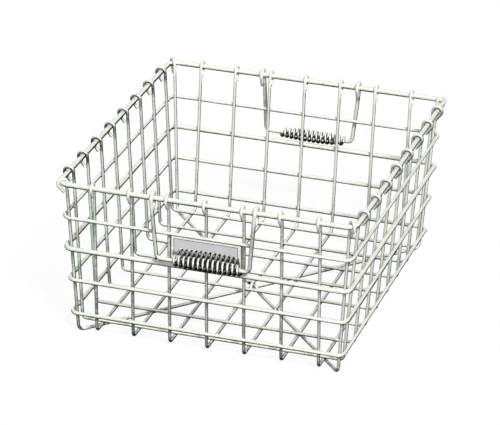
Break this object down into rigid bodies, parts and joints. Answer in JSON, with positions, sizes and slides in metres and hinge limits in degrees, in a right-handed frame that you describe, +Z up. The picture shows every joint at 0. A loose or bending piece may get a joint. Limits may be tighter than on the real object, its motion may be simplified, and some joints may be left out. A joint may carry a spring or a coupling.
{
  "type": "dish draining basket",
  "caption": "Open wire basket for draining dishes: rods hooked over a stout rim, outer bands, a bare label plate, and swinging wire handles in coiled grips.",
  "frame": {"origin": "centre of the basket's bottom, on the plane that it stands on", "axes": "+Z up; +Y along the longer side, away from the wall that carries the label plate; +X to the right of someone facing that wall"},
  "size_m": [0.4166, 0.4756, 0.2299],
  "materials": {
    "tinned_wire": "bright tinned steel wire, slightly dulled and green-grey with age",
    "spring_wire": "bright drawn spring wire",
    "tin_sheet": "smooth rolled tinned sheet, lightly glossy, left bare"
  },
  "bodies": {
    "frame": {"long_rod_1": "tinned_wire", "long_rod_2": "tinned_wire", "long_rod_3": "tinned_wire", "long_rod_4": "tinned_wire", "long_rod_5": "tinned_wire", "long_rod_6": "tinned_wire", "long_rod_7": "tinned_wire", "cross_rod_1": "tinned_wire", "cross_rod_2": "tinned_wire", "cross_rod_3": "tinned_wire", "cross_rod_4": "tinned_wire", "cross_rod_5": "tinned_wire", "cross_rod_6": "tinned_wire", "cross_rod_7": "tinned_wire", "cross_rod_8": "tinned_wire", "under_diagonal_rod": "tinned_wire", "over_diagonal_rod": "tinned_wire", "rim_wire": "tinned_wire", "upper_band": "tinned_wire", "stout_band": "tinned_wire", "middle_band": "tinned_wire", "lower_band": "tinned_wire", "label_plate": "tin_sheet"},
    "front_handle": {"front_bail": "tinned_wire"},
    "back_handle": {"back_bail": "tinned_wire"},
    "front_grip": {"front_coil_grip": "spring_wire"},
    "back_grip": {"back_coil_grip": "spring_wire"}
  },
  "joints": [
    {"name": "front_handle_hinge", "type": "hinge", "parent": "frame", "child": "front_handle", "pos_m": [-0.0005, -0.2265, 0.22], "axis": [-1, 0, 0], "range_deg": [0, 342]},
    {"name": "front_grip_slide", "type": "slide", "parent": "front_handle", "child": "front_grip", "axis": [1, 0, 0], "range_m": [-0.017, 0.008]},
    {"name": "back_handle_hinge", "type": "hinge", "parent": "frame", "child": "back_handle", "pos_m": [0.006, 0.2265, 0.22], "axis": [1, 0, 0], "range_deg": [0, 342]},
    {"name": "back_grip_slide", "type": "slide", "parent": "back_handle", "child": "back_grip", "axis": [1, 0, 0], "range_m": [-0.021, 0.004]}
  ]
}
